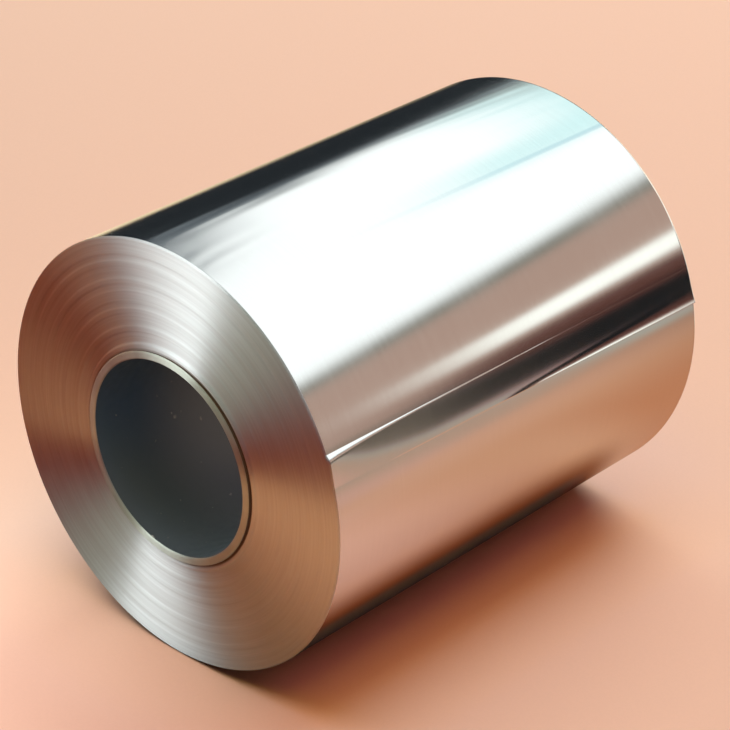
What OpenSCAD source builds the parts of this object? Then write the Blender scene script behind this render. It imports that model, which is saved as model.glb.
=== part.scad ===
// Roll of aluminium foil: a wide sheet wound tight on a thin-walled tube.
// It lies on its side: Z is up, the floor is Z = 0, and the roll's axis runs along +Y.
// The near end faces -Y. Angles round the roll are measured from +X towards +Z, seen from the near end.

/* [Foil] */
// Width of the sheet, which is the length of the wound part
foil_width = 200; // [60:1:400]
// Outer diameter of the wound foil
foil_d = 166; // [110:1:360]
// Radius that rounds the rim, where the outermost turns meet the ends
rim_round = 0.8; // [0.3:0.1:3]

/* [Wound ends] */
// Radial width of one band of turns that were wound in line with each other
band_w = 2.2; // [1.5:0.1:8]
// Share of a band's width over which it slopes from the band before
step_slope = 0.25; // [0.1:0.05:0.6]
// How far the bands wander sideways, so that they step on the ends
turn_wander = 0.12; // [0.05:0.01:0.4]
// How much further the first turns next to the core were wound out of line
start_wander = 0.6; // [0.1:0.05:1.2]
// How many bands it takes for the winding to settle into line
start_bands = 1.6; // [0.5:0.1:5]

/* [Free edge] */
// Height of the step at the sheet's free edge
edge_step = 0.3; // [0.1:0.05:1]
// Place of the free edge round the roll, in degrees above the horizontal
edge_angle = 22; // [0:1:60]
// How far round the roll the sheet is lifted below its free edge, in degrees
lift_span = 10; // [5:1:25]

/* [Core] */
// Bore of the core tube
core_bore_d = 76.2; // [50:0.1:90]
// Wall of the core tube
core_wall = 3; // [1:0.1:8]
// How far the core stands out of the foil at each end
core_projection = 1.5; // [0.5:0.1:12]
// Radius that breaks the edges of the tube's ends
core_edge = 0.7; // [0.2:0.1:1.5]
// Clearance between the tube and the first turn
wind_gap = 0.05; // [0.02:0.01:0.1]

/* [Hidden] */

foil_r = foil_d / 2;
core_bore_r = core_bore_d / 2;
core_r = core_bore_r + core_wall;
core_length = foil_width + 2 * core_projection;
first_turn_r = core_r + wind_gap;

// A whole number of bands fills the wound thickness
bands = max(2, round((foil_r - first_turn_r) / band_w));
band_pitch = (foil_r - first_turn_r) / bands;
band_turn = 137.5;
arc_steps = 4;
// The tube's edge radius stays well inside its wall
tube_edge = min(core_edge, 0.4 * core_wall);
// The rim's round stays within the flat of the outermost band
rim = min(rim_round, 0.9 * (1 - step_slope) * band_pitch);

// Where a band starts
function band_r(i) = first_turn_r + i * band_pitch;

// A band is the sheet's full width shifted sideways, so it steps out at one end and in at the other
function band_shift(i) = turn_wander * sin(i * band_turn)
    + start_wander * exp(-i / start_bands) * cos(i * band_turn);

// The points of a quarter round about [x, y], from one angle to another
function quarter(x, y, radius, from, to) = [
    for (k = [0 : arc_steps])
        let (a = from + (to - from) * k / arc_steps)
        [x + radius * cos(a), y + radius * sin(a)]
];

// One end of the winding, from the core out to where the rim's round starts. Each band is flat,
// and the first part of it slopes from the band before.
function wound_end(side) = [
    for (i = [0 : bands - 1])
        for (edge = [0, 1])
            if (i + edge < bands)
                [band_r(i + edge) + (edge == 0 && i > 0 ? step_slope * band_pitch : 0),
                 side * foil_width / 2 + band_shift(i)]
];

function reversed(points) = [for (i = [len(points) - 1 : -1 : 0]) points[i]];

// Half of the winding's section, which is turned about the roll's axis
module wound_section() {
    top = foil_width / 2 + band_shift(bands - 1) - rim;
    bottom = -foil_width / 2 + band_shift(bands - 1) + rim;
    rim_x = foil_r - rim;
    polygon(concat(
        wound_end(-1),
        quarter(rim_x, bottom, rim, -90, 0),
        quarter(rim_x, top, rim, 0, 90),
        reversed(wound_end(1))
    ));
}

// The lip of the outermost turn. It is highest at the free edge, and its arc meets the roll where the lift ends,
// well above the line on which the roll rests.
module free_lip() {
    top = foil_r + edge_step;
    centre = (pow(top, 2) - pow(foil_r, 2)) / (2 * (top - foil_r * cos(lift_span)));
    reach = top - centre;
    foot = foil_r * cos(lift_span) - edge_step;
    translate([0, 0, band_shift(bands - 1)])
    rotate([0, 0, edge_angle])
    intersection() {
        translate([centre, 0, 0])
            cylinder(r = reach, h = foil_width - 4 * rim, center = true, $fn = 180);
        translate([foot, -foil_r, -foil_width])
            cube([foil_r, foil_r, 2 * foil_width]);
    }
}

// Half of the tube's wall, with its four end edges rounded
module tube_section() {
    half = core_length / 2 - tube_edge;
    inner = core_bore_r + tube_edge;
    outer = core_r - tube_edge;
    polygon(concat(
        quarter(inner, -half, tube_edge, 180, 270),
        quarter(outer, -half, tube_edge, 270, 360),
        quarter(outer, half, tube_edge, 0, 90),
        quarter(inner, half, tube_edge, 90, 180)
    ));
}

// Lays a roll that was modelled about Z along Y, at rest on the floor
module laid() {
    translate([0, 0, foil_r])
    rotate([90, 0, 0])
        children();
}

module foil_roll() {
    color("silver")
    laid() {
        union() {
            rotate_extrude($fn = 180) wound_section();
            free_lip();
        }
    }
}

module core_tube() {
    color("darkgray")
    laid() rotate_extrude($fn = 180) tube_section();
}

foil_roll();
core_tube();
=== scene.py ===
"""Looks of a roll of aluminium foil that lies on a pale board in soft studio light.

Millimetres are used for the roll's own measures, and metres for everything that Blender gets.
Angles round the roll run from +X towards +Z, seen from its near end, which faces -Y.
"""
import math

import bpy
import numpy as np
from mathutils import Matrix, Vector, noise


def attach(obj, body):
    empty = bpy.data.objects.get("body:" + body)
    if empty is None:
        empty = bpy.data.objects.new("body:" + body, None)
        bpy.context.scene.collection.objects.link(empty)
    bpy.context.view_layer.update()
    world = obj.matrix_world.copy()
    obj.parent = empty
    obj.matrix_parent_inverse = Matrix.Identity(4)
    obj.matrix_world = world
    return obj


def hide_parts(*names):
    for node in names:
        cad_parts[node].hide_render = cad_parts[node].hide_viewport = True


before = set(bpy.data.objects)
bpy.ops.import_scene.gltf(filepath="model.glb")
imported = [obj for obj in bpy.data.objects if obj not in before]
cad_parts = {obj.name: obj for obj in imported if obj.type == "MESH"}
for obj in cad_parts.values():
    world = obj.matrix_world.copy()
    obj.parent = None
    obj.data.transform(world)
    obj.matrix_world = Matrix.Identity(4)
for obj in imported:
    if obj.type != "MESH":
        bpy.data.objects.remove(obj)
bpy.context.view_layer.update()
MM = 0.001

# The roll, with the same values as the CAD source
FOIL_WIDTH = 200.0
FOIL_R = 83.0
RIM = 0.8
FIRST_TURN_R = 41.15
CORE_BORE_R = 38.1
CORE_R = 41.1
CORE_LENGTH = 203.0
CORE_EDGE = 0.7

# The bands of turns on the wound ends, also as in the CAD source
BANDS = 19
BAND_PITCH = (FOIL_R - FIRST_TURN_R) / BANDS
BAND_TURN = 137.5
STEP_SLOPE = 0.25
TURN_WANDER = 0.12
START_WANDER = 0.6
START_BANDS = 1.6

# The far rim shows as a wider light line in the photograph, so it is rounded a little more
FAR_RIM = 1.5

# The free edge and the foot of its lifted strip run slightly askew, as in the photograph.
# These are their angles at the two ends of the roll.
EDGE_NEAR = 22.5
EDGE_FAR = 21.0
FOOT_NEAR = 14.0
FOOT_FAR = 11.3

# Fine turns on the wound ends: their pitch, how fast they change round the roll, how far they wander
# sideways, how much more they do so next to the core, and how far out from it that is felt
TURN_PITCH = 0.62
TURN_CHANGE = 1.6
TURN_RELIEF = 0.018
CORE_RELIEF = 0.05
CORE_REACH = 3.0

# The innermost turns: how far they have slipped in, and how far out they reach
SLIP = 0.8
SLIP_REACH = 1.3

# Slack ripples high up on the roll lie between these two angles
RIPPLES_START = 74.0
RIPPLES_END = 103.0

# Angles of a faint crease near the roll's top, at its two ends
CREASE_NEAR = 67.6
CREASE_FAR = 66.2

# The mesh: degrees between two columns, rows on a wound end, rows along the side, rows on a rim
# and on a rounded edge of the tube
COLUMN_STEP = 1.5
END_ROWS = 118
SIDE_ROWS = 46
RIM_ROWS = 6
TUBE_EDGE_ROWS = 8

# Places of the foil's two materials
SIDE = 0
END = 1


def smooth(low, high, x):
    """0 below low, 1 above high, and a smooth rise between them. Works on arrays."""
    t = np.clip((np.asarray(x, float) - low) / (high - low), 0.0, 1.0)
    return t * t * (3.0 - 2.0 * t)


def field(points, seed):
    """Seeded noise, about -1 to 1, at an array of points."""
    shift = Vector((seed * 7.31, seed * 3.17, seed * 5.53))
    flat = points.reshape(-1, 3)
    values = [noise.noise(Vector(p) + shift) for p in flat]
    return np.array(values).reshape(points.shape[:-1])


def band_shift(i):
    """How far a band of turns is shifted along the axis."""
    turn = math.radians(i * BAND_TURN)
    return TURN_WANDER * math.sin(turn) + START_WANDER * math.exp(-i / START_BANDS) * math.cos(turn)


def new_object(name, points, faces):
    mesh = bpy.data.meshes.new(name)
    mesh.from_pydata(points, [], faces)
    made = bpy.data.objects.new(name, mesh)
    bpy.context.scene.collection.objects.link(made)
    return made


def ring(radius, y, turn):
    """A row of points round the axis. The radius and y are single values or one value a point."""
    return np.stack([radius * np.cos(turn), y + 0.0 * turn, FOIL_R + radius * np.sin(turn)], -1)


def turned_mesh(name, rows):
    """A closed mesh from rings of points that follow each other round the section."""
    grid = np.asarray(rows, float)
    n_rows, n_columns = grid.shape[:2]
    index = np.arange(n_rows * n_columns).reshape(n_rows, n_columns)
    below = np.roll(index, -1, 0)
    quads = np.stack([index, below, np.roll(below, -1, 1), np.roll(index, -1, 1)], -1)
    piece = new_object(name, (grid.reshape(-1, 3) * MM).tolist(), quads.reshape(-1, 4).tolist())
    piece.data.polygons.foreach_set("use_smooth", [True] * len(piece.data.polygons))
    piece.data.update()
    return piece


def foil_columns():
    """Angles of the mesh's columns, denser at the free edge, at the strip's foot and in the ripples."""
    even = np.arange(0.0, 360.0, COLUMN_STEP)
    edge = EDGE_NEAR + np.array([-2.4, -1.9, -1.5, -1.15, -0.85, -0.6, -0.4, -0.25, -0.14, -0.07, -0.02,
                                 0.02, 0.07, 0.15, 0.4, 1.0])
    off_foot = np.array([0.08, 0.16, 0.24, 0.35, 0.6, 1.0])
    foot = FOOT_NEAR + np.concatenate([-off_foot[::-1], [0.0], off_foot])
    flared = np.arange(FOOT_NEAR + 1.35, EDGE_NEAR - 2.6, 0.4)
    rippled = np.arange(RIPPLES_START - 0.8, RIPPLES_END, 0.6)
    dense = np.concatenate([edge, foot, flared, rippled])
    clear_of_dense = [a for a in even if np.min(np.abs(dense - a)) > 0.45]
    return np.sort(np.concatenate([clear_of_dense, dense]))


def end_rows(rim):
    """Radii of one end's rows, and how far the bands shift each row along the axis."""
    radii = np.linspace(FIRST_TURN_R, FOIL_R - rim, END_ROWS)
    place = (radii - FIRST_TURN_R) / BAND_PITCH
    band = np.minimum(place.astype(int), BANDS - 1)
    here = np.array([band_shift(i) for i in band])
    before = np.array([band_shift(max(i - 1, 0)) for i in band])
    part = np.clip((place - band) / STEP_SLOPE, 0.0, 1.0)
    return radii, before + (here - before) * part


def wound_end(angles, side, seed):
    """One end from the core out: the radius of each row, and y at each of its points.

    The side is -1 at the near end and 1 at the far end.
    """
    rim = RIM if side < 0 else FAR_RIM
    radii, shift = end_rows(rim)
    turn = np.radians(angles)
    spiral = radii[:, None] / TURN_PITCH + angles[None, :] / 360.0
    across = TURN_CHANGE * np.repeat(np.cos(turn)[None, :], END_ROWS, 0)
    up = TURN_CHANGE * np.repeat(np.sin(turn)[None, :], END_ROWS, 0)
    near_core = np.exp(-(radii - FIRST_TURN_R) / CORE_REACH)[:, None]
    relief = field(np.stack([spiral, across, up], -1), seed) * (TURN_RELIEF + CORE_RELIEF * near_core)
    # The relief fades out before the rounded rim
    relief *= 1.0 - smooth(FOIL_R - rim - 0.8, FOIL_R - rim, radii)[:, None]
    # The innermost turns have slipped in, most of all on the right of the core
    innermost = 1.0 - smooth(FIRST_TURN_R + 0.4, FIRST_TURN_R + SLIP_REACH, radii)
    slipped = 0.45 + 0.55 * np.cos(np.radians(angles + 20.0))
    relief -= SLIP * innermost[:, None] * slipped[None, :]
    return radii, side * FOIL_WIDTH / 2 - shift[:, None] + side * relief


def rim_point(rim, angle, lip):
    """Radius at an angle on a rounded rim, and the depth of that point below the end's face."""
    c = math.cos(math.radians(angle))
    s = math.sin(math.radians(angle))
    return FOIL_R - rim + rim * s + lip * s * s, rim * (1.0 - c)


def skewed(angles, share):
    """The columns in radians, with those near the free edge turned so that it runs askew.

    The share of the skew is 0 at the near end and 1 at the far end.
    """
    to_foot = FOOT_FAR - FOOT_NEAR
    to_edge = EDGE_FAR - EDGE_NEAR
    knots = [2.0, FOOT_NEAR - 1.5, FOOT_NEAR + 1.5, EDGE_NEAR - 2.5, EDGE_NEAR + 1.5, 36.0]
    shift = np.interp(angles, knots, [0.0, to_foot, to_foot, to_edge, to_edge, 0.0])
    return np.radians(angles) + np.radians(shift) * share


def ripples(angles, part):
    """Slack ripples in the outermost turn, high up on the roll. They fan out towards its two ends."""
    arc = FOIL_R * np.radians(angles)
    y = FOIL_WIDTH * part

    def waves(lean, pitch, seed):
        points = np.stack([(arc + lean * y) / pitch, np.full_like(arc, y / 90.0), 0.0 * arc], -1)
        return field(points, seed)

    near = math.exp(-(part / 0.30) ** 2)
    far = math.exp(-((1.0 - part) / 0.28) ** 2)
    height = 0.20 * near * waves(-0.05, 4.2, 6) + 0.14 * far * waves(0.05, 3.4, 8)
    rise = smooth(RIPPLES_START, RIPPLES_START + 5.0, angles)
    area = rise * (1.0 - smooth(RIPPLES_END - 7.0, RIPPLES_END, angles))
    # They end just before the rims
    fade = min(1.0, 25.0 * part, 25.0 * (1.0 - part))
    return height * area * fade


def lip_height(angles, part):
    """Lift of the hemmed end of the sheet over the roll, at a share of the roll's width from its near end."""
    from_foot = np.radians(angles - FOOT_NEAR) * FOIL_R
    before_edge = np.radians(EDGE_NEAR - angles) * FOIL_R
    # The upper line is a facet of the fold. It is wide at the near end and fades towards the far one.
    facet = 0.18 + 2.2 * math.exp(-part / 0.10) - 0.16 * float(smooth(0.35, 0.62, part))
    slope = 0.58 - 0.18 * float(smooth(0.1, 0.5, part))
    height = slope * facet
    foot_step = 0.15 * float(smooth(0.12, 0.28, part))
    rise = np.clip(from_foot / (from_foot + before_edge), 0.0, 1.0)
    lift = foot_step + (height - foot_step) * rise ** 1.3
    past = facet - before_edge
    rounding = 0.1 * facet + 0.02
    lift = lift - slope * 0.5 * (past + np.sqrt(past ** 2 + rounding ** 2))
    lift = np.where(before_edge < 0.0, 0.0, np.maximum(lift, 0.0))
    # The lower line is the sheet's edge. Towards the far end the strip flares out on its way down to it.
    open_part = min(max((part - 0.48) / 0.52, 0.0), 1.0)
    widths = [0.0, 0.25 + 0.85 * open_part, 0.3, 0.2 + 2.4 * open_part, 0.3 + 1.6 * open_part]
    slopes = np.tan(np.radians([17.5, 17.5, 14.0, 9.0, 0.0])) * float(smooth(0.42, 0.56, part))
    along = np.linspace(0.0, 8.0, 401)
    slope_there = np.interp(along, np.cumsum(widths), slopes)
    flare = np.cumsum(slope_there[::-1])[::-1] * (along[1] - along[0])
    lift = lift + np.interp(np.maximum(from_foot, 0.0), along, flare)
    return lift * smooth(-0.12, 0.12, from_foot)


def make_foil():
    angles = foil_columns()
    turn = np.radians(angles)
    near_face = -FOIL_WIDTH / 2 - band_shift(BANDS - 1)
    far_face = FOIL_WIDTH / 2 - band_shift(BANDS - 1)
    rim_angles = np.linspace(0.0, 90.0, RIM_ROWS + 1)
    rows = []
    kinds = []

    def add_row(radius, y, kind, share):
        rows.append(ring(radius, y, skewed(angles, share)))
        kinds.append(kind)

    # Near end outward, near rim, side, far rim, far end inward, bore
    radii, near_y = wound_end(angles, -1, 1)
    for r, y in zip(radii, near_y):
        add_row(r, y, END, 0.0)
    lip = lip_height(angles, 0.0)
    for a in rim_angles[1:]:
        radius, depth = rim_point(RIM, a, lip)
        add_row(radius, near_face + depth, END if a < 80.0 else SIDE, 0.0)
    flat = FOIL_WIDTH - RIM - FAR_RIM
    by_the_rim = np.array([0.12, 0.4, 1.1, 2.4]) / flat
    even = np.arange(1, SIDE_ROWS + 1) / (SIDE_ROWS + 1)
    for part in np.concatenate([by_the_rim, even, 1.0 - by_the_rim[::-1]]):
        y = near_face + RIM + flat * part
        where = np.stack([1.1 * np.cos(turn), 1.1 * np.sin(turn), np.full_like(turn, y / 60.0)], -1)
        wave = 0.012 * field(where, 4) * math.sin(math.pi * part) ** 0.5 + ripples(angles, part)
        add_row(FOIL_R + wave + lip_height(angles, part), y, SIDE, part)
    lip = lip_height(angles, 1.0)
    for a in rim_angles[:0:-1]:
        radius, depth = rim_point(FAR_RIM, a, lip)
        add_row(radius, far_face - depth, END if a < 40.0 else SIDE, 1.0)
    radii, far_y = wound_end(angles, 1, 2)
    for r, y in zip(radii[::-1], far_y[::-1]):
        add_row(r, y, END, 1.0)
    for y in np.linspace(90.0, -90.0, 4):
        add_row(FIRST_TURN_R, y, END, 0.5 + y / FOIL_WIDTH)

    foil = turned_mesh("wound_foil", rows)
    foil.data.materials.append(side_material())
    foil.data.materials.append(end_material())
    kind_of_face = np.repeat(np.array(kinds, np.int32), len(angles))
    foil.data.polygons.foreach_set("material_index", kind_of_face.tolist())
    return foil


def make_core():
    turn = np.radians(np.arange(0.0, 360.0, COLUMN_STEP))
    half = CORE_LENGTH / 2 - CORE_EDGE
    inner = CORE_BORE_R + CORE_EDGE
    outer = CORE_R - CORE_EDGE
    rows = []

    def add_row(radius, y):
        rows.append(ring(radius, y, turn))

    def rounded_edge(centre_r, centre_y, start):
        for a in np.radians(np.linspace(start, start + 90.0, TUBE_EDGE_ROWS)):
            add_row(centre_r + CORE_EDGE * math.cos(a), centre_y + CORE_EDGE * math.sin(a))

    # Near end outward, outer wall, far end inward, bore
    rounded_edge(inner, -half, 180.0)
    for r in np.linspace(inner, outer, 5)[1:-1]:
        add_row(r, -CORE_LENGTH / 2)
    rounded_edge(outer, -half, 270.0)
    for y in np.linspace(-half, half, 12)[1:-1]:
        add_row(CORE_R, y)
    rounded_edge(outer, half, 0.0)
    for r in np.linspace(outer, inner, 5)[1:-1]:
        add_row(r, CORE_LENGTH / 2)
    rounded_edge(inner, half, 90.0)
    for y in np.linspace(half, -half, 24)[1:-1]:
        add_row(CORE_BORE_R, y)

    core = turned_mesh("core_tube_shell", rows)
    core.data.materials.append(core_wall_material())
    core.data.materials.append(core_end_material())
    for face in core.data.polygons:
        face.material_index = int(abs(face.center.y) > (half + 0.2 * CORE_EDGE) * MM)
    return core


class Nodes:
    """Short calls for building a material's nodes."""

    def __init__(self, name):
        self.material = bpy.data.materials.new(name)
        self.material.use_nodes = True
        self.tree = self.material.node_tree
        self.shader = self.tree.nodes["Principled BSDF"]

    def add(self, kind, **values):
        node = self.tree.nodes.new(kind)
        for key, value in values.items():
            setattr(node, key, value)
        return node

    def link(self, a, b):
        self.tree.links.new(a, b)

    def put(self, socket, value):
        """Links a value that comes out of a node, and sets any other."""
        if hasattr(value, "is_output"):
            self.link(value, socket)
        else:
            socket.default_value = value

    def colour(self, value):
        self.put(self.shader.inputs["Base Color"], value)

    def math(self, operation, *values):
        node = self.add("ShaderNodeMath", operation=operation)
        for k, value in enumerate(values):
            self.put(node.inputs[k], value)
        return node.outputs[0]

    def times(self, first, *others):
        product = first
        for value in others:
            product = self.math("MULTIPLY", product, value)
        return product

    def length(self, a, b):
        """Length of the line whose two legs are a and b."""
        return self.math("SQRT", self.math("ADD", self.times(a, a), self.times(b, b)))

    def ramp(self, value, low, high, out_low=0.0, out_high=1.0, kind="SMOOTHSTEP"):
        node = self.add("ShaderNodeMapRange", interpolation_type=kind)
        self.put(node.inputs["Value"], value)
        for key, number in zip(("From Min", "From Max", "To Min", "To Max"), (low, high, out_low, out_high)):
            node.inputs[key].default_value = number
        return node.outputs[0]

    def fall(self, value, low, high):
        """1 below low, 0 above high."""
        return self.ramp(value, low, high, 1.0, 0.0)

    def band(self, value, low, high, soft):
        """1 between low and high, 0 outside, with edges of a given softness."""
        half = soft / 2
        start = self.ramp(value, low - half, low + half)
        return self.times(start, self.fall(value, high - half, high + half))

    def spread(self, grain, low=0.0, high=1.0):
        """A noise texture's value, stretched to fill the range from low to high."""
        return self.ramp(grain, 0.3, 0.7, low, high)

    def mix(self, factor, a, b, blend="MIX"):
        node = self.add("ShaderNodeMix", data_type="RGBA", blend_type=blend)
        self.put(node.inputs[0], factor)
        self.put(node.inputs[6], (*a, 1.0) if isinstance(a, tuple) else a)
        self.put(node.inputs[7], (*b, 1.0) if isinstance(b, tuple) else b)
        return node.outputs[2]

    def tinted(self, factor, colour, tint):
        """The colour multiplied by a tint, where the factor is 1."""
        return self.mix(factor, colour, self.mix(1.0, colour, tint, "MULTIPLY"))

    def place(self):
        """The point on the piece in metres, split into its parts."""
        split = self.add("ShaderNodeSeparateXYZ")
        self.link(self.add("ShaderNodeTexCoord").outputs["Object"], split.inputs[0])
        return split.outputs

    def place_on_roll(self):
        """x, y and the height over the roll's axis, in metres."""
        x, y, z = self.place()
        return x, y, self.math("SUBTRACT", z, FOIL_R * MM)

    def noise(self, vector, scale, detail=2.0, roughness=0.5):
        node = self.add("ShaderNodeTexNoise", noise_dimensions="3D")
        self.link(vector, node.inputs["Vector"])
        node.inputs["Scale"].default_value = scale
        node.inputs["Detail"].default_value = detail
        node.inputs["Roughness"].default_value = roughness
        return node.outputs["Fac"]

    def vector(self, x, y, z):
        node = self.add("ShaderNodeCombineXYZ")
        for socket, value in zip(node.inputs, (x, y, z)):
            self.put(socket, value)
        return node.outputs[0]

    def bump(self, height, distance):
        node = self.add("ShaderNodeBump")
        node.inputs["Strength"].default_value = 1.0
        node.inputs["Distance"].default_value = distance
        self.link(height, node.inputs["Height"])
        self.link(node.outputs[0], self.shader.inputs["Normal"])

    def metal(self, roughness, anisotropic, metallic=1.0):
        """Brushed metal whose grooves run round the roll, so that it scatters across them."""
        self.shader.inputs["Metallic"].default_value = metallic
        self.put(self.shader.inputs["Roughness"], roughness)
        self.shader.inputs["Anisotropic"].default_value = anisotropic
        self.shader.inputs["Anisotropic Rotation"].default_value = 0.25
        tangent = self.add("ShaderNodeTangent", direction_type="RADIAL", axis="Y")
        self.link(tangent.outputs[0], self.shader.inputs["Tangent"])


def side_material():
    n = Nodes("rolled_foil")
    x, y, up = n.place_on_roll()
    # Rolling lines run round the roll, so they change along its axis
    lines = n.noise(n.vector(n.times(x, 2.0), n.times(y, 160.0), n.times(up, 2.0)), 6.0, 4.0, 0.6)
    tone = n.mix(n.spread(lines), (0.77, 0.765, 0.755), (0.79, 0.79, 0.78))
    # Painted shade of a faint crease along the roll near its top, which fades out before the near end
    round_roll = n.math("DEGREES", n.math("ARCTAN2", up, x))
    half_width = FOIL_WIDTH / 2 * MM
    crease_line = n.ramp(y, -half_width, half_width, CREASE_NEAR, CREASE_FAR, "LINEAR")
    off_line = n.math("ABSOLUTE", n.math("SUBTRACT", round_roll, crease_line))
    painted_crease_shade = n.times(n.fall(off_line, 0.15, 1.1), n.ramp(y, -0.06, 0.10, 0.0, 0.55))
    n.colour(n.mix(painted_crease_shade, tone, (0.42, 0.52, 0.58)))
    cloud = n.noise(n.vector(x, y, up), 18.0)
    n.metal(n.math("ADD", n.spread(cloud, 0.12, 0.155), n.spread(lines, 0.0, 0.008)), 0.55)
    return n.material


def end_material():
    n = Nodes("wound_edges")
    x, y, up = n.place_on_roll()
    radius = n.length(x, up)
    # The edges of the turns: rings of uneven width that fade in and out round the roll
    rings = n.noise(n.vector(n.times(radius, 900.0), n.times(x, 14.0), n.times(up, 14.0)), 1.0, 3.0, 0.7)
    tone = n.mix(n.spread(rings), (0.70, 0.69, 0.68), (0.78, 0.78, 0.77))
    # Painted shade in the groove beside the core, where the slipped turns lie in the tube's shadow: deepest
    # on its right, less on its left
    slipped = n.fall(radius, (FIRST_TURN_R + 0.3) * MM, (FIRST_TURN_R + SLIP_REACH - 0.1) * MM)
    painted_groove_shade = n.times(slipped, n.ramp(x, -0.01, 0.03, 0.45, 1.0))
    n.colour(n.mix(painted_groove_shade, tone, (0.20, 0.13, 0.10)))
    n.metal(n.spread(rings, 0.48, 0.54), 1.0)
    n.bump(rings, 0.00002)
    return n.material


def core_wall_material():
    n = Nodes("core_tube_wall")
    x, y, up = n.place_on_roll()
    # Painted shade inside the tube: darkest near the near end, lighter further in, and bluer towards its top
    inside_painted_shade = n.mix(n.ramp(up, -0.030, 0.012), (0.050, 0.064, 0.070), (0.044, 0.086, 0.132))
    inside_painted_shade = n.mix(n.ramp(y, -0.085, -0.045), inside_painted_shade, (0.165, 0.175, 0.180))
    # The middle of the wall parts the inside from the outside, whose dark brown is painted shade in the
    # groove by the foil
    outside = n.ramp(n.length(x, up), (CORE_BORE_R + 1.2) * MM, (CORE_BORE_R + 1.6) * MM)
    wall = n.mix(outside, inside_painted_shade, (0.11, 0.075, 0.055))
    # A few specks of dust
    speck = n.noise(n.vector(x, y, up), 260.0)
    n.colour(n.mix(n.ramp(speck, 0.70, 0.80), wall, (0.30, 0.30, 0.26)))
    n.shader.inputs["Metallic"].default_value = 0.0
    n.put(n.shader.inputs["Roughness"], n.spread(speck, 0.42, 0.55))
    return n.material


def core_end_material():
    n = Nodes("core_tube_ends")
    cloud = n.noise(n.vector(*n.place_on_roll()), 90.0, 3.0)
    n.colour(n.mix(n.spread(cloud), (0.52, 0.54, 0.47), (0.64, 0.66, 0.58)))
    n.metal(n.spread(cloud, 0.46, 0.54), 1.0, metallic=0.9)
    return n.material


# The board that the roll lies on: its colour, its radius in metres, its number of sides, and how far
# it lies below the roll's lowest line
BOARD_COLOUR = (0.80, 0.50, 0.37)
BOARD_R = 9.0
BOARD_SIDES = 96
BOARD_DROP = 0.0003


def painted_board_beside_roll(n, x, y):
    """Painted light and shade on the board, as the foil's side mirrors it beside, beneath and behind the
    roll.
    """
    tint = n.mix(n.ramp(x, -0.30, -0.10), (1.30, 1.58, 1.36), (0.80, 0.68, 0.56))
    # Painted shade by the far end
    painted_far_end_shade = n.times(n.ramp(x, -0.10, 0.0), n.fall(x, 0.10, 0.22), n.ramp(y, 0.09, 0.15))
    tint = n.mix(painted_far_end_shade, tint, (0.68, 0.46, 0.32))
    # Painted light and shade from left to right, then lighter and bluer towards the near end, and darker far
    # behind
    tint = n.mix(n.ramp(x, 0.18, 0.26), tint, (0.83, 0.75, 0.68))
    tint = n.tinted(n.fall(y, -0.03, 0.09), tint, (1.22, 1.33, 1.65))
    tint = n.tinted(n.ramp(y, 0.14, 0.54), tint, (0.17, 0.17, 0.17))
    # Painted light and shade far to the right, from beside the roll to far behind it
    painted_far_right = n.mix(n.ramp(y, 0.12, 0.24), (0.80, 0.77, 0.82), (0.60, 0.68, 0.70))
    painted_far_right = n.mix(n.ramp(y, 0.29, 0.37), painted_far_right, (0.52, 0.87, 1.04))
    painted_far_right = n.mix(n.ramp(y, 0.37, 0.45), painted_far_right, (0.50, 0.50, 0.66))
    tint = n.mix(n.ramp(x, 0.27, 0.33), tint, painted_far_right)
    # Painted shade beneath the roll, deepest right beneath it
    tint = n.mix(n.times(n.fall(x, 0.060, 0.100), n.fall(y, 0.090, 0.118)), tint, (0.38, 0.22, 0.14))
    tint = n.mix(n.times(n.fall(x, 0.057, 0.069), n.fall(y, 0.065, 0.095)), tint, (0.19, 0.34, 0.44))
    # Painted light far behind the roll
    behind = n.times(n.ramp(x, -0.30, -0.25), n.fall(x, 0.10, 0.15), n.ramp(y, 0.26, 0.33))
    return n.mix(behind, tint, (1.15, 1.70, 2.00))


def painted_board_before_roll(n, x, y):
    """Painted light and shade on the board, as the near end mirrors it in front of the roll, from left to
    right.
    """
    close = n.mix(n.ramp(x, -0.30, -0.20), (0.68, 0.33, 0.22), (0.14, 0.016, 0.011))
    close = n.mix(n.ramp(x, -0.08, 0.01), close, (1.02, 0.82, 0.55))
    distant = n.mix(n.ramp(x, -0.35, -0.22), (1.75, 1.24, 0.90), (0.24, 0.024, 0.024))
    tint = n.mix(n.ramp(y, -0.44, -0.31), distant, close)
    # Painted shade on the board close in front of the near end
    return n.tinted(n.ramp(y, -0.155, -0.12), tint, (0.45, 0.5, 0.5))


def make_board():
    around = [2.0 * math.pi * k / BOARD_SIDES for k in range(BOARD_SIDES)]
    points = [(BOARD_R * math.cos(a), BOARD_R * math.sin(a), -BOARD_DROP) for a in around]
    board = new_object("board", points, [list(range(BOARD_SIDES))])
    n = Nodes("pale_board")
    x, y, z = n.place()
    grain = n.noise(n.vector(x, y, z), 900.0)
    seen = n.mix(n.spread(grain), tuple(0.985 * c for c in BOARD_COLOUR), BOARD_COLOUR)
    # In the photograph the board has other tones in the metal than by itself, so mirror rays see it with
    # painted light and shade
    painted_mirror_tone = n.mix(n.ramp(y, -0.12, -0.095), painted_board_before_roll(n, x, y), painted_board_beside_roll(n, x, y))
    mirror_ray = n.add("ShaderNodeLightPath").outputs["Is Glossy Ray"]
    n.colour(n.tinted(mirror_ray, seen, painted_mirror_tone))
    n.shader.inputs["Roughness"].default_value = 0.9
    n.shader.inputs["Specular IOR Level"].default_value = 0.0
    board.data.materials.append(n.material)


# The dome over the studio: its radius in metres, its rings from the floor to the top, and its sides
DOME_R = 0.8
DOME_RINGS = 24
DOME_SIDES = 96

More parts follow.
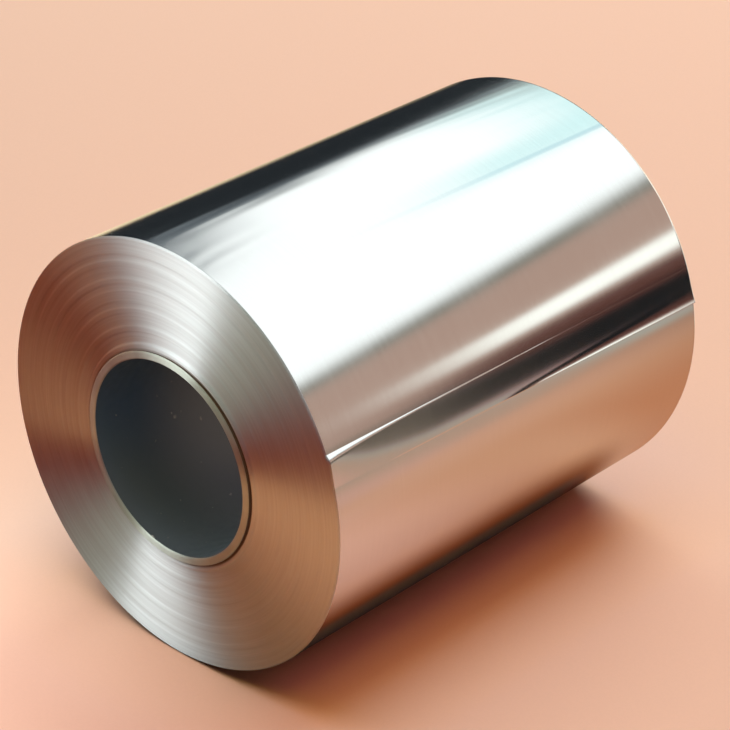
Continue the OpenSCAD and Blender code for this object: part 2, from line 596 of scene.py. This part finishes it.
# Cards that the metal mirrors. Each is a patch on the dome, in degrees: its lower and upper edge in height
# with their softness, its two ends in azimuth, from +Y towards +X, with theirs, and its colour.
CARDS = {
    "tan wall, right": (12.0, 60.0, 3.0, 0.0, 100.0, 8.0, (0.52, 0.36, 0.29)),
    "strip light": (17.1, 22.4, 2.0, 0.0, 53.0, 10.0, (1.4, 1.45, 1.35)),
    "brown card, right": (8.0, 15.3, 3.0, 0.0, 55.0, 6.0, (0.12, 0.045, 0.035)),
    "black card, right": (-5.0, 9.5, 3.0, 0.0, 58.0, 7.0, (0.010, 0.012, 0.013)),
    "grey wall, right front": (-5.0, 13.0, 3.0, 57.0, 106.0, 6.0, (0.29, 0.23, 0.17)),
    "cream wall, back": (1.0, 40.0, 4.0, -33.0, 20.0, 6.0, (1.40, 1.32, 1.14)),
    "grey wall, front": (-5.0, 70.0, 10.0, 145.0, 190.0, 10.0, (0.56, 0.58, 0.46)),
    "grey wall, front left": (-5.0, 70.0, 10.0, -190.0, -160.0, 10.0, (0.46, 0.52, 0.42)),
    "maroon wall, front right": (-5.0, 29.0, 12.0, 100.0, 167.0, 10.0, (0.20, 0.012, 0.016)),
    "brown wall, left": (-5.0, 25.0, 10.0, -118.0, -84.0, 8.0, (0.78, 0.46, 0.26)),
    "window, front left": (22.0, 75.0, 34.0, -169.0, -121.0, 10.0, (3.45, 3.75, 3.75)),
}


def dome_mesh():
    points = []
    faces = []
    for i in range(DOME_RINGS):
        lift = math.radians(90.0 * i / DOME_RINGS)
        ring_r = DOME_R * math.cos(lift)
        for k in range(DOME_SIDES):
            a = 2.0 * math.pi * k / DOME_SIDES
            points.append((ring_r * math.cos(a), ring_r * math.sin(a), DOME_R * math.sin(lift)))
            this = i * DOME_SIDES + k
            beside = i * DOME_SIDES + (k + 1) % DOME_SIDES
            if i < DOME_RINGS - 1:
                faces.append((this, beside, beside + DOME_SIDES, this + DOME_SIDES))
            else:
                faces.append((this, beside, DOME_RINGS * DOME_SIDES))
    points.append((0.0, 0.0, DOME_R))
    return points, faces


def add_softbox(n, colour, across, along, azimuth):
    """Puts the overhead softbox on the dome, with a black flag along its left side and a grey frame.

    It is a straight-sided card on the ceiling. Its sides are lines in the ratios across = x / z and
    along = y / z, so they look straight in a level plane above the roll.
    """
    flag = n.times(n.fall(across, -1.56, -1.36), n.band(azimuth, -88.0, -14.0, 8.0))
    colour = n.mix(flag, colour, (0.019, 0.023, 0.027))
    front = n.ramp(n.math("MULTIPLY_ADD", across, 0.436, along), 0.295, 0.375)
    dent = n.times(n.fall(along, 1.0, 1.1), n.ramp(along, 0.76, 0.88))
    left = n.ramp(n.math("MULTIPLY_ADD", dent, -0.2, across), -1.38, -1.08)
    slant = n.math("ADD", across, along)
    frame_side = n.fall(slant, 1.80, 2.02)
    colour = n.mix(n.times(front, left, frame_side), colour, (0.22, 0.22, 0.18))
    # The cloth is bluer at its back and in one stripe
    right = n.fall(slant, 1.50, 1.80)
    middle = n.ramp(across, -0.06, 0.03)
    back = n.math("MAXIMUM", n.fall(along, 1.10, 1.75), middle)
    stripe = n.times(n.ramp(along, 0.68, 0.82), n.ramp(across, -0.32, -0.12))
    far_part = n.ramp(n.math("MULTIPLY_ADD", across, 0.40, along), 0.78, 0.86)
    bluer = n.times(n.math("MAXIMUM", far_part, stripe), n.math("SUBTRACT", 1.0, middle))
    cloth = n.mix(bluer, (1.32, 1.40, 1.40), (0.84, 1.19, 1.20))
    return n.mix(n.times(front, left, right, back), colour, cloth)


def make_dome():
    """A half sphere over the roll that only mirror rays see: the studio's lamps, walls and cards."""
    dome = new_object("studio_dome", *dome_mesh())
    n = Nodes("studio_cards")
    x, y, z = n.place()
    height = n.math("DEGREES", n.math("ARCTAN2", z, n.length(x, y)))
    azimuth = n.math("DEGREES", n.math("ARCTAN2", x, y))
    colour = (0.17, 0.20, 0.22)
    for low, high, soft, start, end, soft_end, card in CARDS.values():
        patch = n.times(n.band(height, low, high, soft), n.band(azimuth, start, end, soft_end))
        colour = n.mix(patch, colour, card)
    colour = add_softbox(n, colour, n.math("DIVIDE", x, z), n.math("DIVIDE", y, z), azimuth)
    n.tree.nodes.remove(n.shader)
    glow = n.add("ShaderNodeEmission")
    n.link(colour, glow.inputs["Color"])
    n.link(glow.outputs[0], n.tree.nodes["Material Output"].inputs["Surface"])
    n.material.cycles.emission_sampling = "NONE"
    dome.data.materials.append(n.material)
    dome.visible_camera = False
    dome.visible_diffuse = False
    dome.visible_transmission = False
    dome.visible_volume_scatter = False
    dome.visible_shadow = False


def area_lamp(name, place, aim, size, power, colour):
    """A rectangular lamp that the metal doesn't mirror."""
    lamp = bpy.data.lights.new(name, "AREA")
    lamp.shape = "RECTANGLE"
    lamp.size, lamp.size_y = size
    lamp.energy = power
    lamp.color = colour
    holder = bpy.data.objects.new(name, lamp)
    bpy.context.scene.collection.objects.link(holder)
    holder.location = place
    holder.rotation_euler = (Vector(aim) - Vector(place)).to_track_quat("-Z", "Y").to_euler()
    holder.visible_glossy = False
    return lamp


def make_lights():
    area_lamp("overhead, back", (-0.6, 2.4, 3.0), (-0.6, 2.4, 0.0), (3.0, 3.0), 143.5, (0.852, 1.0, 0.993))
    area_lamp("overhead, front", (0.8, -0.8, 3.2), (0.8, -0.8, 0.0), (2.5, 2.5), 38.8, (1.0, 0.773, 0.0))
    area_lamp("overhead, middle", (0.0, 0.0, 3.4), (0.0, 0.0, 0.0), (1.5, 1.5), 35.3, (0.130, 0.408, 1.0))
    area_lamp("right", (1.8, 0.5, 3.0), (0.0, 0.0, 0.0), (2.0, 2.0), 24.6, (1.0, 0.27, 0.344))
    area_lamp("left", (-2.4, 0.8, 1.0), (0.0, 0.0, 0.0), (1.2, 1.0), 13.9, (0.636, 1.0, 0.939))
    # Light that the bright near end would throw on the board in front of it
    area_lamp("bounce from the end", (-0.066, -0.15, 0.135), (-0.066, -0.15, 0.0), (0.12, 0.06),
              0.125, (0.92, 0.90, 1.0))
    area_lamp("bounce, front left", (-0.20, -0.22, 0.20), (-0.07, -0.13, 0.0), (0.12, 0.10),
              0.055, (1.0, 0.80, 0.58))
    # Light that falls into the tube from behind
    through_bore = area_lamp("light through the far end", (0.05, 0.17, 0.10), (-0.03, -0.045, 0.062),
                             (0.03, 0.03), 0.010, (1.0, 0.78, 0.64))
    through_bore.spread = math.radians(30.0)

    world = bpy.data.worlds.new("room")
    bpy.context.scene.world = world
    world.use_nodes = True
    back = world.node_tree.nodes["Background"]
    back.inputs["Color"].default_value = (1.0, 0.45, 0.50, 1.0)
    back.inputs["Strength"].default_value = 0.0535


def make_camera():
    azimuth = math.radians(43.06)
    elevation = math.radians(28.45)
    distance = 0.9882
    back = Vector((math.sin(azimuth) * math.cos(elevation), -math.cos(azimuth) * math.cos(elevation),
                   math.sin(elevation)))
    right = Vector((math.cos(azimuth), math.sin(azimuth), 0.0))
    up = back.cross(right)
    lens = bpy.data.cameras.new("camera")
    lens.lens = 128.17
    lens.sensor_width = 36.0
    lens.shift_x = 0.00488
    lens.shift_y = -0.00641
    camera = bpy.data.objects.new("camera", lens)
    bpy.context.scene.collection.objects.link(camera)
    place = Vector((0.0, 0.0, FOIL_R * MM)) + back * distance
    camera.matrix_world = Matrix.Translation(place) @ Matrix((right, up, back)).transposed().to_4x4()
    bpy.context.scene.camera = camera


make_camera()
foil = make_foil()
core = make_core()
for piece, node, slot in ((foil, "foil_roll", "foil"), (core, "core_tube", "core")):
    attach(piece, "root")
    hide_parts(node)
make_board()
make_dome()
make_lights()
bpy.context.scene.view_settings.view_transform = "Standard"
bpy.context.scene.cycles.use_denoising = True
